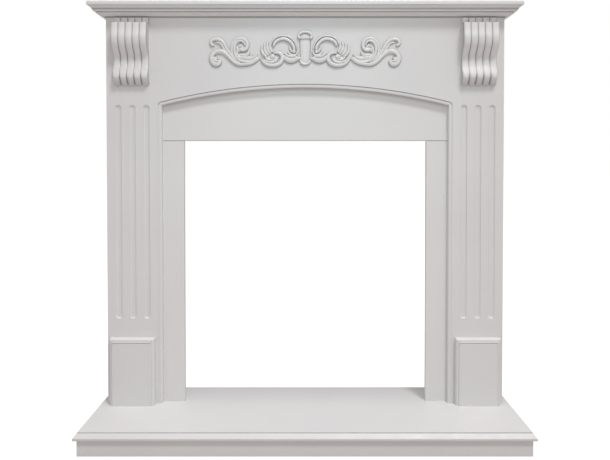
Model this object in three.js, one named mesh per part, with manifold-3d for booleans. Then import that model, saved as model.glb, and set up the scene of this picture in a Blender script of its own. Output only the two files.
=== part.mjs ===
// A painted fireplace surround on its own raised hearth, for an inset electric fire.
// Millimetres, +Z up, +X to the right of someone who faces it, front towards -Y.
// The origin is on the floor, in the middle of the hearth.
import * as THREE from 'three';
import { mergeVertices } from 'three/addons/utils/BufferGeometryUtils.js';
import Module from 'manifold-3d';

const wasm = await Module();
wasm.setup();

// Driving dimensions: the hearth
const hearthDepth = 332;
const hearthHeight = 55;
const slabSideMargin = 20;
const slabThickness = 18;
const slabNose = 6;
const slabQuirkDrop = 1.4;
const slabQuirkLand = 1;
const slabOvoloDrop = 7.6;
const slabNoseFlat = 5.5;
const slabUndercut = 2.5;
const railSetBack = 8;
const railThickness = 18;

// Driving dimensions: the frame that stands on the hearth
const frameWidth = 990;
const frameDepth = 130;
const boardThickness = 17;
const boardHeight = 981.5;

// Driving dimensions: the arched opening and its routed edge
const archHalfWidth = 358;
const archSpringHeight = 748;
const archRise = 44;
const routedWidth = 9;
const routedStep = 1.6;
const routedLand = 1;
const routedRoundDepth = 7;

// Driving dimensions: the flutes
const fluteCount = 3;
const fluteSpacing = 35;
const fluteWidth = 16;
const fluteDepth = 6;
const fluteBottomHeight = 214;
const fluteTopHeight = 749;

// Driving dimensions: the slips round the fire
const fireHalfWidth = 305;
const fireHeight = 660;
const slipThickness = 16;
const slipCover = 19;
const headerSlipHeight = 185;

// Driving dimensions: the shelf and its cornice
const shelfThickness = 18;
const shelfOverhang = 38;
const shelfNoseHeight = 9;
const shelfNoseRound = 2.6;
const shelfNoseStep = 2;
const shelfCoveReach = 7;
const shelfCoveRise = 7.2;
const shelfFilletStep = 1;
const corniceHeight = 18.3;
const corniceLip = 1.8;
const corniceLipHeight = 2.2;
const corniceSoffitReach = 17.7;
const corniceSoffitRise = 7;
const corniceFillet = 2.8;
const corniceStep = 1;
const corniceRoundReach = 6;
const corniceRoundRise = 4;
const mitreGap = 0.3;

// Driving dimensions: the reeded corbels
const reedCount = 5;
const reedWidth = 17.4;
const reedHeight = 3.6;
const corbelHeight = 169.5;
const corbelTopSlope = 0.26;
const corbelClearance = 0.3;
const corbelNeck = 4;
const corbelNeckShare = 0.07;
const corbelBrow = 31;
const corbelBrowShare = 0.88;
const corbelBelly = 33.5;
const corbelWaist = 9;
const corbelToeBulge = 17;
const corbelToe = 6;
const scallop = 7;

// Driving dimensions: the plinth blocks
const plinthHeight = 167.5;
const plinthThickness = 22;
const plinthInset = 8;
const plinthRound = 5.5;
const plinthBeadReach = 3.5;
const plinthBeadRise = 2.2;
const plinthStep = 1;
const plinthGrooveWidth = 1.4;
const plinthGrooveDepth = 1;

// Driving dimensions: the scroll ornament, whose carving is drawn in hundredths of its length
const ornamentLength = 476;
const ornamentRelief = 8;
const ornamentHeightOnBoard = 842;
const strokeTipFlat = 0.08;
const strokeTipRoundness = 8;
const strokeTipLift = 0.25;

// Smoothness of the curved work
const arcSteps = 4;
const archSteps = 24;
const corbelRows = 16;
const strokeSides = 3;

// Places that follow from the sizes above
const backY = hearthDepth / 2;
const hearthFrontY = -hearthDepth / 2;
const faceY = backY - frameDepth;
const boardBackY = faceY + boardThickness;
const hearthTopZ = hearthHeight;
const slabBottomZ = hearthHeight - slabThickness;
const frameHalfWidth = frameWidth / 2;
const slabTopHalfWidth = frameHalfWidth + slabSideMargin;
const slabNoseHalfWidth = slabTopHalfWidth + slabNose;
const boardTopZ = hearthTopZ + boardHeight;
const shelfTopZ = boardTopZ + shelfThickness;
const corniceBottomZ = boardTopZ - corniceHeight;
const legCentre = (archHalfWidth + routedWidth + frameHalfWidth) / 2;
const plinthHalfWidth = (frameHalfWidth - archHalfWidth - routedWidth) / 2 - plinthInset;
const archSpringZ = hearthTopZ + archSpringHeight;
const archRadius = (archHalfWidth ** 2 + archRise ** 2) / (2 * archRise);
const archCentreZ = archSpringZ + archRise - archRadius;

const white = new THREE.Color(0xe4e4e3);

function paint(roughness) {
  return new THREE.MeshStandardMaterial({ color: white.clone(), roughness, metalness: 0 });
}

// Returns the geometry as one closed skin: shared corners merged, empty triangles dropped, faces out.
function closedGeometry(geometry) {
  const bare = new THREE.BufferGeometry();
  bare.setAttribute('position', geometry.getAttribute('position').clone());
  if (geometry.index) bare.setIndex(geometry.index.clone());
  const merged = mergeVertices(bare, 1e-4);
  const position = merged.getAttribute('position');
  const corner = (i) => new THREE.Vector3().fromBufferAttribute(position, i);
  const kept = [];
  let volume = 0;
  for (let i = 0; i < merged.index.count; i += 3) {
    const [a, b, c] = [0, 1, 2].map((k) => merged.index.getX(i + k));
    if (a === b || b === c || c === a) continue;
    kept.push([a, b, c]);
    volume += corner(a).dot(corner(b).cross(corner(c)));
  }
  const outward = volume > 0 ? kept : kept.map(([a, b, c]) => [a, c, b]);
  merged.setIndex(outward.flat());
  merged.computeVertexNormals();
  return merged;
}

function solidOf(geometry) {
  const closed = closedGeometry(geometry);
  const vertProperties = new Float32Array(closed.getAttribute('position').array);
  const triVerts = new Uint32Array(closed.index.array);
  return new wasm.Manifold(new wasm.Mesh({ numProp: 3, vertProperties, triVerts }));
}

function geometryOf(solid) {
  const mesh = solid.getMesh();
  const geometry = new THREE.BufferGeometry();
  geometry.setAttribute('position', new THREE.BufferAttribute(mesh.vertProperties, 3));
  geometry.setIndex(new THREE.BufferAttribute(mesh.triVerts, 1));
  geometry.computeVertexNormals();
  return geometry;
}

// Joins rings of points into a solid. Each ring is a closed loop; flat(point, i) gives the two
// coordinates in which the end faces are filled.
function loft(rings, flat) {
  const size = rings[0].length;
  const positions = rings.flat().flatMap((point) => [point.x, point.y, point.z]);
  const index = [];
  for (let r = 0; r + 1 < rings.length; r += 1) {
    for (let i = 0; i < size; i += 1) {
      const a = r * size + i;
      const b = r * size + (i + 1) % size;
      index.push(a, b, b + size, a, b + size, a + size);
    }
  }
  const last = (rings.length - 1) * size;
  const turnsLeft = THREE.ShapeUtils.area(rings[0].map(flat)) > 0;
  for (const [a, b, c] of THREE.ShapeUtils.triangulateShape(rings[0].map(flat), [])) {
    index.push(...(turnsLeft ? [a, c, b] : [a, b, c]));
  }
  for (const triangle of THREE.ShapeUtils.triangulateShape(rings[rings.length - 1].map(flat), [])) {
    const [a, b, c] = triangle.map((i) => i + last);
    index.push(...(turnsLeft ? [a, b, c] : [a, c, b]));
  }
  const geometry = new THREE.BufferGeometry();
  geometry.setAttribute('position', new THREE.Float32BufferAttribute(positions, 3));
  geometry.setIndex(index);
  return closedGeometry(geometry);
}

const unit = {
  x: new THREE.Vector3(1, 0, 0),
  y: new THREE.Vector3(0, 1, 0),
  z: new THREE.Vector3(0, 0, 1),
};

// A straight bar of the given outline: along X the outline is (y, z), along Y it is (x, z),
// along Z it is (x, y).
function barAlong(axis, outline, from, to) {
  const shape = new THREE.Shape(outline.map(([a, b]) => new THREE.Vector2(a, b)));
  const geometry = new THREE.ExtrudeGeometry(shape, { depth: to - from, bevelEnabled: false });
  const turn = new THREE.Matrix4();
  if (axis === 'x') turn.makeBasis(unit.y, unit.z, unit.x).setPosition(from, 0, 0);
  if (axis === 'y') turn.makeBasis(unit.x, unit.z, unit.y.clone().negate()).setPosition(0, to, 0);
  if (axis === 'z') turn.setPosition(0, 0, from);
  return closedGeometry(geometry.applyMatrix4(turn));
}

// A plain board between two corners.
function board(x0, x1, y0, y1, z0, z1) {
  const geometry = new THREE.BoxGeometry(x1 - x0, y1 - y0, z1 - z0);
  return closedGeometry(geometry.translate((x0 + x1) / 2, (y0 + y1) / 2, (z0 + z1) / 2));
}

// Points of a quarter round from one point to another. It leaves the first point along the first
// coordinate when leavesFlat is true, else along the second.
function quarterRound([a0, b0], [a1, b1], leavesFlat) {
  return Array.from({ length: arcSteps + 1 }, (_, i) => {
    const angle = (i / arcSteps) * Math.PI / 2;
    const across = leavesFlat ? Math.sin(angle) : 1 - Math.cos(angle);
    const up = leavesFlat ? 1 - Math.cos(angle) : Math.sin(angle);
    return [a0 + (a1 - a0) * across, b0 + (b1 - b0) * up];
  });
}

// A slab whose front and two ends carry the same moulded edge. edge is a list of (reach, z) from
// the underside up to the top, where reach is counted outwards from the slab's top outline.
function mouldedSlab(edge, halfWidth, frontY, rearY) {
  const bottomZ = edge[0][1];
  const topZ = edge[edge.length - 1][1];
  const right = edge.map(([reach, z]) => [halfWidth + reach, z]);
  const left = right.map(([x, z]) => [-x, z]).reverse();
  const front = edge.map(([reach, z]) => [frontY - reach, z]);
  const span = halfWidth + Math.max(...edge.map(([reach]) => reach)) + 1;
  const endsMoulded = barAlong('y', [...right, ...left], frontY - span, rearY);
  const frontMoulded = barAlong('x', [...front, [rearY, topZ], [rearY, bottomZ]], -span, span);
  return geometryOf(solidOf(endsMoulded).intersect(solidOf(frontMoulded)));
}

function hearthSlab() {
  const topEdgeZ = hearthTopZ - slabQuirkDrop;
  const noseTopZ = topEdgeZ - slabOvoloDrop;
  const noseBottomZ = noseTopZ - slabNoseFlat;
  const edge = [
    [slabNose - slabUndercut, slabBottomZ],
    [slabNose, noseBottomZ],
    ...quarterRound([slabNose, noseTopZ], [slabQuirkLand, topEdgeZ], false),
    [0, topEdgeZ],
    [0, hearthTopZ],
  ];
  return mouldedSlab(edge, slabTopHalfWidth, hearthFrontY + slabNose, backY);
}

function hearthRails() {
  const outerX = slabNoseHalfWidth - railSetBack;
  const innerX = outerX - railThickness;
  const frontY = hearthFrontY + railSetBack;
  const frontInnerY = frontY + railThickness;
  const backInnerY = backY - railThickness;
  return {
    hearth_front_rail: board(-outerX, outerX, frontY, frontInnerY, 0, slabBottomZ),
    hearth_left_rail: board(-outerX, -innerX, frontInnerY, backInnerY, 0, slabBottomZ),
    hearth_right_rail: board(innerX, outerX, frontInnerY, backInnerY, 0, slabBottomZ),
    hearth_back_rail: board(-outerX, outerX, backInnerY, backY, 0, slabBottomZ),
  };
}

// The outline of the arched opening moved outwards by a distance, from the foot of the left leg
// over the arch to the foot of the right leg. Every distance gives the same number of points.
function archOutline(distance, footZ) {
  const springAngle = Math.asin(archHalfWidth / archRadius);
  const sideX = archHalfWidth + distance;
  const right = [[sideX, footZ]];
  const turn = Math.max(distance, 0);
  for (let i = 0; i <= arcSteps; i += 1) {
    const angle = (i / arcSteps) * (Math.PI / 2 - springAngle);
    const insideX = distance < 0 ? sideX : archHalfWidth + turn * Math.cos(angle);
    const insideZ = distance < 0
      ? archCentreZ + Math.sqrt((archRadius + distance) ** 2 - sideX ** 2)
      : archSpringZ + turn * Math.sin(angle);
    right.push([insideX, insideZ]);
  }
  const startAngle = distance < 0 ? Math.asin(sideX / (archRadius + distance)) : springAngle;
  for (let i = 1; i < archSteps / 2; i += 1) {
    const angle = startAngle * (1 - i / (archSteps / 2));
    const radius = archRadius + distance;
    right.push([radius * Math.sin(angle), archCentreZ + radius * Math.cos(angle)]);
  }
  const left = right.map(([x, z]) => [-x, z]);
  return [...left, [0, archCentreZ + archRadius + distance], ...right.reverse()];
}

// The waste that a router takes off the front edge of the arched opening.
function routedWaste() {
  const clear = 2;
  const roundStart = [routedWidth - routedLand, routedStep];
  const roundEnd = [0, routedStep + routedRoundDepth];
  const section = [
    [-clear, -clear],
    [routedWidth, -clear],
    [routedWidth, routedStep],
    ...quarterRound(roundStart, roundEnd, true),
    [-clear, routedStep + routedRoundDepth],
  ];
  const lines = section.map(([distance]) => archOutline(distance, hearthTopZ - clear));
  const rings = lines[0].map((_, i) => section.map(([, depth], k) => (
    new THREE.Vector3(lines[k][i][0], faceY + depth, lines[k][i][1]))));
  return loft(rings, (point, k) => new THREE.Vector2(...section[k]));
}

function flutes() {
  const cutterRadius = (fluteWidth ** 2 / 4 + fluteDepth ** 2) / (2 * fluteDepth);
  const cutterY = faceY - cutterRadius + fluteDepth;
  const straight = fluteTopHeight - fluteBottomHeight - fluteWidth;
  const middleZ = hearthTopZ + (fluteTopHeight + fluteBottomHeight) / 2;
  const cutters = [];
  for (const side of [-1, 1]) {
    for (let i = 0; i < fluteCount; i += 1) {
      const x = side * legCentre + (i - (fluteCount - 1) / 2) * fluteSpacing;
      const capsule = new THREE.CapsuleGeometry(cutterRadius, straight, arcSteps, 4 * arcSteps);
      cutters.push(capsule.rotateX(Math.PI / 2).translate(x, cutterY, middleZ));
    }
  }
  return cutters;
}

function frontBoard() {
  const outline = [
    [-frameHalfWidth, hearthTopZ],
    ...archOutline(0, hearthTopZ).filter(([x, z], i, all) => (
      i === 0 || x !== all[i - 1][0] || z !== all[i - 1][1])),
    [frameHalfWidth, hearthTopZ],
    [frameHalfWidth, boardTopZ],
    [-frameHalfWidth, boardTopZ],
  ];
  const plate = solidOf(barAlong('y', outline, faceY, boardBackY));
  const waste = [routedWaste(), ...flutes()].map(solidOf);
  return geometryOf(waste.reduce((left, cutter) => left.subtract(cutter), plate));
}

function sidePanels() {
  const innerX = frameHalfWidth - boardThickness;
  return {
    left_side_panel: board(-frameHalfWidth, -innerX, boardBackY, backY, hearthTopZ, boardTopZ),
    right_side_panel: board(innerX, frameHalfWidth, boardBackY, backY, hearthTopZ, boardTopZ),
  };
}

function slips() {
  const outerX = archHalfWidth + slipCover;
  const rearY = boardBackY + slipThickness;
  const fireTopZ = hearthTopZ + fireHeight;
  const headerTopZ = fireTopZ + headerSlipHeight;
  return {
    header_slip: board(-outerX, outerX, boardBackY, rearY, fireTopZ, headerTopZ),
    left_slip: board(-outerX, -fireHalfWidth, boardBackY, rearY, hearthTopZ, fireTopZ),
    right_slip: board(fireHalfWidth, outerX, boardBackY, rearY, hearthTopZ, fireTopZ),
  };
}

function mantelShelf() {
  const noseRoundZ = shelfTopZ - shelfNoseRound;
  const noseBottomZ = shelfTopZ - shelfNoseHeight;
  const coveOuter = shelfOverhang - shelfNoseStep;
  const coveInner = coveOuter - shelfCoveReach;
  const coveBottomZ = noseBottomZ - shelfCoveRise;
  const filletReach = coveInner - shelfFilletStep;
  const edge = [
    [filletReach, boardTopZ],
    [filletReach, coveBottomZ],
    ...quarterRound([coveInner, coveBottomZ], [coveOuter, noseBottomZ], false),
    [shelfOverhang, noseBottomZ],
    ...quarterRound([shelfOverhang, noseRoundZ], [shelfOverhang - shelfNoseRound, shelfTopZ], false),
  ];
  return mouldedSlab(edge, frameHalfWidth, faceY, backY);
}

// The cornice's section as (reach from the frame, z): a lip, a sloping soffit, a fillet, a step
// and a round that ends in a second fillet under the shelf.
function corniceSection() {
  const lipTopZ = corniceBottomZ + corniceLipHeight;
  const soffitReach = corniceLip + corniceSoffitReach;
  const soffitTopZ = lipTopZ + corniceSoffitRise;
  const filletTopZ = soffitTopZ + corniceFillet;
  const roundReach = soffitReach + corniceStep;
  const roundEnd = [roundReach + corniceRoundReach, filletTopZ + corniceRoundRise];
  return [
    [0, corniceBottomZ],
    [corniceLip, corniceBottomZ],
    [corniceLip, lipTopZ],
    [soffitReach, soffitTopZ],
    [soffitReach, filletTopZ],
    ...quarterRound([roundReach, filletTopZ], roundEnd, true),
    [roundEnd[0], boardTopZ],
    [0, boardTopZ],
  ];
}

// The cornice runs round three sides, and its two corners are mitred with a fine gap.
function cornices() {
  const cutBack = mitreGap / Math.SQRT2;
  const section = corniceSection();
  const between = (startRing, endRing) => (
    loft([startRing, endRing], (point, i) => new THREE.Vector2(...section[i])));
  const frontEnd = (side) => section.map(([reach, z]) => (
    new THREE.Vector3(side * (frameHalfWidth + reach - cutBack), faceY - reach, z)));
  const returnFront = (side) => section.map(([reach, z]) => (
    new THREE.Vector3(side * (frameHalfWidth + reach), faceY - reach + cutBack, z)));
  const returnBack = (side) => section.map(([reach, z]) => (
    new THREE.Vector3(side * (frameHalfWidth + reach), backY, z)));
  return {
    cornice_front: between(frontEnd(-1), frontEnd(1)),
    cornice_left: between(returnBack(-1), returnFront(-1)),
    cornice_right: between(returnFront(1), returnBack(1)),
  };
}

// How far the corbel's face stands out at a share of its height: a toe, a waist, a full belly and,
// behind a flat ledge, a narrow neck under the cornice.
function corbelProfile() {
  const curve = new THREE.SplineCurve([
    new THREE.Vector2(corbelToe, 0),
    new THREE.Vector2(corbelToeBulge, 0.12),
    new THREE.Vector2((corbelToeBulge + corbelWaist) / 2, 0.26),
    new THREE.Vector2(corbelWaist, 0.38),
    new THREE.Vector2((corbelWaist + corbelBelly) / 2, 0.5),
    new THREE.Vector2(corbelBelly, 0.66),
    new THREE.Vector2(corbelBrow, corbelBrowShare),
  ]);
  return [
    ...curve.getPoints(corbelRows),
    new THREE.Vector2(corbelNeck, 1 - corbelNeckShare),
    new THREE.Vector2(corbelNeck, 1),
  ];
}

function corbel(centreX) {
  const bottomZ = corniceBottomZ - corbelHeight;
  const halfWidth = reedCount * reedWidth / 2;
  const columns = [];
  for (let reed = 0; reed < reedCount; reed += 1) {
    const start = centreX - halfWidth + reed * reedWidth;
    for (let k = reed === 0 ? 0 : 1; k <= 4; k += 1) {
      const angle = k * Math.PI / 4;
      columns.push({ x: start + reedWidth * (1 - Math.cos(angle)) / 2, swell: Math.sin(angle) });
    }
  }
  const last = columns.length - 1;
  const rings = corbelProfile().map(({ x: reach, y: share }) => {
    const point = (column, lift) => {
      const footZ = bottomZ + scallop * (1 - column.swell);
      const headZ = corniceBottomZ - corbelClearance + corbelTopSlope * (lift - corniceLip);
      return new THREE.Vector3(column.x, faceY - lift, footZ + (headZ - footZ) * share);
    };
    const front = columns.map((column) => point(column, reach + reedHeight * column.swell));
    return [...front, point(columns[last], 0), point(columns[0], 0)];
  });
  return loft(rings, ({ x, y }) => new THREE.Vector2(x, y));
}

// The plinth's edge as (distance in from the outline, height off the board).
function plinthEdge() {
  const beadBottom = plinthThickness - plinthBeadRise;
  const roundTop = beadBottom - plinthStep;
  const beadEnd = plinthRound + plinthBeadReach;
  return [
    [0, 0],
    ...quarterRound([0, roundTop - plinthRound], [plinthRound, roundTop], false),
    [plinthRound, beadBottom],
    ...quarterRound([plinthRound, beadBottom], [beadEnd, plinthThickness], false).slice(1),
    [beadEnd + plinthGrooveWidth / 2, plinthThickness - plinthGrooveDepth],
    [beadEnd + plinthGrooveWidth, plinthThickness],
  ];
}

function plinthBlock(centreX) {
  const topZ = hearthTopZ + plinthHeight;
  const edge = plinthEdge();
  const leftSide = edge.map(([inset, lift]) => [centreX - plinthHalfWidth + inset, faceY - lift]);
  const rightSide = edge.map(([inset, lift]) => [centreX + plinthHalfWidth - inset, faceY - lift]);
  const upright = barAlong('z', [...leftSide, ...rightSide.reverse()], hearthTopZ, topZ + 1);
  const top = edge.map(([inset, lift]) => [faceY - lift, topZ - inset]);
  const across = [...top, [faceY - plinthThickness, hearthTopZ], [faceY, hearthTopZ]];
  const level = barAlong('x', across, centreX - plinthHalfWidth - 1, centreX + plinthHalfWidth + 1);
  return geometryOf(solidOf(upright).intersect(solidOf(level)));
}

// Points on a coil round a centre, in hundredths of the ornament's length. turns is a list of
// (degrees, radius), and the coil passes smoothly from each to the next.
function coil([centreAcross, centreUp], turns) {
  return turns.map(([degrees, radius]) => {
    const angle = THREE.MathUtils.degToRad(degrees);
    return [centreAcross + radius * Math.cos(angle), centreUp + radius * Math.sin(angle)];
  });
}

// The carving of one half, outwards from the middle line. Each stroke is a carved rib: the path
// of its ridge, its width at the start, middle and end, and its relief as a share of the whole.
// The first eight are broad low grounds that the finer ribs stand on.
function scrollStrokes() {
  const strokes = [
    { path: [[35.8, 5.6], [30, 3.7], [24.6, 5]], width: [3.6, 4.8, 1.4], relief: 0.5 },
    { path: [[34, 1.9], [38.2, 6.8], [39.8, 9]], width: [2.6, 4.6, 2.6], relief: 0.4 },
    { path: [[36.4, 4.6], [36.9, 11], [33.4, 14.1], [31.2, 11]], width: [2.4, 3, 1.8], relief: 0.5 },
    { path: [[35.6, 9.4], [31.4, 10.2]], width: [3, 4.4, 3], relief: 0.5 },
    { path: [[48.2, 5.4], [44.9, 2.6]], width: [2, 3, 2], relief: 0.5 },
    { path: [[20.8, 3.9], [14.2, 4.6]], width: [4.4, 6, 4.6], relief: 0.4 },
    { path: [[19, 5.6], [19.8, 10.6]], width: [4, 5.6, 4.4], relief: 0.35 },
    { path: [[11.8, 5.2], [4, 5.4]], width: [2.6, 3.6, 2.2], relief: 0.4 },
    {
      path: [...coil([46.5, 12.3], [[-30, 2], [40, 1.9], [100, 2], [160, 3.2]]),
        [41.9, 9.6], [39.4, 6], [34.5, 1.9]],
      width: [1.6, 2, 1.2],
      relief: 0.7,
    },
    {
      path: [[23.2, 4.9], [28.4, 1.9], [34.5, 1.9], [39.4, 4.9], [42.6, 7.2],
        ...coil([46.7, 3.5], [[105, 3.9], [50, 3], [0, 2.3], [-90, 2], [-180, 1.5], [-260, 0.6]])],
      width: [1.4, 2.2, 1.4],
      relief: 0.8,
    },
    {
      path: [[34.6, 2.8], [37.4, 6.2],
        ...coil([33.4, 12], [[-10, 4.8], [45, 4.1], [90, 3.2], [135, 2.8], [190, 2.6], [245, 2]])],
      width: [1.6, 2.7, 1.3],
      relief: 1,
    },
    {
      path: [[33.4, 3.8], [35.6, 7.4], ...coil([33.4, 12], [[0, 2.6], [70, 1.6], [150, 0.8]])],
      width: [1.4, 2, 1],
      relief: 0.7,
    },
    {
      path: [[35.3, 8.6], [34.4, 7.2], [32.2, 6.4], [30, 7], [28.6, 8.4]],
      width: [1.4, 2, 0.8],
      relief: 0.7,
    },
    { path: [[33, 6.2], [29.2, 5.2], [25.4, 6.4]], width: [1.4, 1.8, 0.8], relief: 0.8 },
    { path: [[34.2, 4.4], [29.8, 3.4], [24, 5]], width: [1.4, 1.8, 1], relief: 0.7 },
    {
      path: [...coil([11, 9.3], [[-15, 5.8], [30, 5.6], [90, 5.5], [150, 5.6], [200, 5.8]]), [6.6, 6.6]],
      width: [2, 2.4, 1.8],
      relief: 0.9,
    },
    {
      path: coil([11.3, 9.7], [[35, 7.4], [75, 7.2], [110, 7.1], [150, 7.1], [190, 7]]),
      width: [1.4, 1.8, 1.2],
      relief: 0.5,
    },
    {
      path: [[24, 4.9], [21, 2.2], [17.2, 1.3], [13.9, 2.2],
        [12.4, 4.6], [13.3, 6.8], [15.6, 7.4], [17, 6.2]],
      width: [1.4, 2.2, 1.4],
      relief: 0.9,
    },
    {
      path: [[21.6, 5.6], [19.6, 4.2], [17.4, 3.6], [15.8, 4.4], [15.4, 5.6]],
      width: [1.6, 1.6, 1],
      relief: 0.7,
    },
    { path: [[10.4, 7.4], [7.8, 5.6], [4.4, 7.2]], width: [1.4, 1.9, 1.2], relief: 0.7 },
    { path: [[12.2, 5.2], [8.6, 3.4], [1.4, 4]], width: [1.8, 2.4, 1.6], relief: 0.8 },
  ];
  for (let rib = 0; rib < 4; rib += 1) {
    strokes.push({
      path: [[18.8 - rib, 5.4 + 0.8 * rib], [22.1 - 1.8 * rib, 8.6 + 0.6 * rib], [21.2 - 1.5 * rib, 13.2]],
      width: [1.4, 1.9, 0.9],
      relief: 0.6,
    });
  }
  return strokes;
}

// The bosses of one half: centre, radius and relief share.
const scrollBosses = [
  { centre: [48.1, 11.3], radius: 1, relief: 0.8 },
  { centre: [46.7, 3.5], radius: 1.5, relief: 0.9 },
  { centre: [17.3, 5.4], radius: 1.3, relief: 0.9 },
  { centre: [5.9, 8.2], radius: 1.2, relief: 0.9 },
];

// The middle piece: an arched cap with a bar under it, over a flat tongue with a rolled tip.
const middleStrokes = [
  {
    path: coil([0, 14.7], [[-8, 2.9], [45, 3.1], [90, 3.2], [135, 3.1], [188, 2.9]]),
    width: [1.6, 1.6, 1.6],
    relief: 0.9,
  },
  { path: [[2.4, 14.6], [-2.4, 14.6]], width: [1, 1.6, 1], relief: 0.7 },
  { path: [[0, 17.4], [0, 9], [0, 1.2]], width: [6.2, 5.6, 5], relief: 0.4 },
  { path: [[2.8, 4.4], [1.9, 2.3], [0, 1.7], [-1.9, 2.3], [-2.8, 4.4]], width: [1, 1.6, 1], relief: 0.7 },
];

// How full a stroke is at t, from 0 to 1 along it: whole in the middle and rounded at both ends.
function strokeFullness(t) {
  const fromMiddle = Math.abs(2 * t - 1);
  const intoTip = Math.max(0, fromMiddle * (1 + strokeTipFlat) - strokeTipFlat);
  return Math.sqrt(Math.max(0, 1 - intoTip ** strokeTipRoundness));
}

function strokeSolid({ path, width, relief }, side) {
  const scale = ornamentLength / 100;
  const baseZ = hearthTopZ + ornamentHeightOnBoard;
  const points = path.map(([across, up]) => new THREE.Vector2(side * across * scale, baseZ + up * scale));
  const curve = new THREE.SplineCurve(points);
  const steps = Math.ceil(1.5 * (path.length - 1)) + 2;
  const [start, middle, end] = width;
  const rings = [];
  for (let i = 0; i <= steps; i += 1) {
    const t = i / steps;
    const point = curve.getPoint(t);
    const along = curve.getTangent(t);
    const full = t < 0.5 ? start + (middle - start) * 2 * t : middle + (end - middle) * (2 * t - 1);
    const fullness = strokeFullness(t);
    const half = scale * full / 2 * fullness;
    const height = strokeTipLift + (1 - strokeTipLift) * fullness;
    const lift = i % steps === 0 ? 0 : ornamentRelief * relief * height;
    const ring = [];
    for (let k = 0; k <= strokeSides; k += 1) {
      const angle = (k / strokeSides) * Math.PI;
      const out = half * Math.cos(angle);
      ring.push(new THREE.Vector3(
        point.x - along.y * out, faceY - lift * Math.sin(angle), point.y + along.x * out));
    }
    rings.push(ring);
  }
  return solidOf(loft(rings, ({ x, z }) => new THREE.Vector2(x, z)));
}

function bossSolid({ centre: [across, up], radius, relief }, side) {
  const scale = ornamentLength / 100;
  const baseZ = hearthTopZ + ornamentHeightOnBoard;
  const profile = [new THREE.Vector2(0, 0)];
  for (let i = 0; i <= arcSteps; i += 1) {
    const angle = (i / arcSteps) * Math.PI / 2;
    const lift = ornamentRelief * relief * Math.sin(angle);
    profile.push(new THREE.Vector2(radius * scale * Math.cos(angle) * (i < arcSteps), lift));
  }
  const dome = new THREE.LatheGeometry(profile, 2 * arcSteps);
  return solidOf(dome.rotateX(Math.PI).translate(side * across * scale, faceY, baseZ + up * scale));
}

function scrollOrnament() {
  const pieces = middleStrokes.map((stroke) => strokeSolid(stroke, 1));
  for (const side of [-1, 1]) {
    pieces.push(...scrollStrokes().map((stroke) => strokeSolid(stroke, side)));
    pieces.push(...scrollBosses.map((boss) => bossSolid(boss, side)));
  }
  return geometryOf(pieces.reduce((whole, piece) => whole.add(piece)));
}

const surround = new THREE.Group();

function place(name, geometry, roughness) {
  const mesh = new THREE.Mesh(geometry, paint(roughness));
  mesh.name = name;
  surround.add(mesh);
}

const boardRoughness = 0.45;
const mouldingRoughness = 0.4;

place('hearth_slab', hearthSlab(), boardRoughness);
for (const [name, geometry] of Object.entries(hearthRails())) place(name, geometry, boardRoughness);
place('front_board', frontBoard(), boardRoughness);
for (const [name, geometry] of Object.entries(sidePanels())) place(name, geometry, boardRoughness);
for (const [name, geometry] of Object.entries(slips())) place(name, geometry, boardRoughness);
place('mantel_shelf', mantelShelf(), boardRoughness);
for (const [name, geometry] of Object.entries(cornices())) place(name, geometry, mouldingRoughness);
place('left_corbel', corbel(-legCentre), mouldingRoughness);
place('right_corbel', corbel(legCentre), mouldingRoughness);
place('left_plinth_block', plinthBlock(-legCentre), boardRoughness);
place('right_plinth_block', plinthBlock(legCentre), boardRoughness);
place('scroll_ornament', scrollOrnament(), mouldingRoughness);

export default surround;
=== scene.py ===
# %% [markdown]
# # A white fireplace surround on its own hearth
#
# The object is a painted surround for an electric fire. It is made of smooth fibreboard and machined
# mouldings, all sprayed with satin white paint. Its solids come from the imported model, which is the fixed
# frame here: this lesson dresses it, piece by piece, with finer edges, finer carving and real paint.

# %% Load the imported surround
import math

import bmesh
import bpy
import numpy as np
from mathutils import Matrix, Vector


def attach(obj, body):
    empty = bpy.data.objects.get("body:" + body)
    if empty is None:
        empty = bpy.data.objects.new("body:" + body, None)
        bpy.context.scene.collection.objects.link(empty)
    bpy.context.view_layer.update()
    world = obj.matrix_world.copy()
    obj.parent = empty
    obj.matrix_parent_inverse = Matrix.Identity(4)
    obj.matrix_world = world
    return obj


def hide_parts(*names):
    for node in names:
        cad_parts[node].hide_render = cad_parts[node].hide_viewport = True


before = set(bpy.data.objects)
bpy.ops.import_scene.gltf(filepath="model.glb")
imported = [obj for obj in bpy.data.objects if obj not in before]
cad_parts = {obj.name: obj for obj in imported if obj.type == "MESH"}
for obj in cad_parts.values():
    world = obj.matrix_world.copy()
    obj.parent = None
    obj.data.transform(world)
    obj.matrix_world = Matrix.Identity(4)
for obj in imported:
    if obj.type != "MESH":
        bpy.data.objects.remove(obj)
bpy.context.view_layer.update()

# %% [markdown]
# ## The camera
#
# The photograph was taken from about 2 m in front of the board, at the height of the arch, and it shows
# the upright legs as upright lines. A level camera with a large vertical shift would give just that. This
# one stands a little nearer and lower, shifts less and tilts down by about a degree. That comes close to
# the same picture, and it keeps the surround in the picture when it is seen from other sides.

# %% The photograph's camera
PHOTO_WIDTH = 610
FOCAL_LENGTH_IN_PIXELS = 719.1
SENSOR_WIDTH = 36
SHIFT_IN_PIXELS = (-2.5, -52)
TILT_DOWN = 1.28

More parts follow.
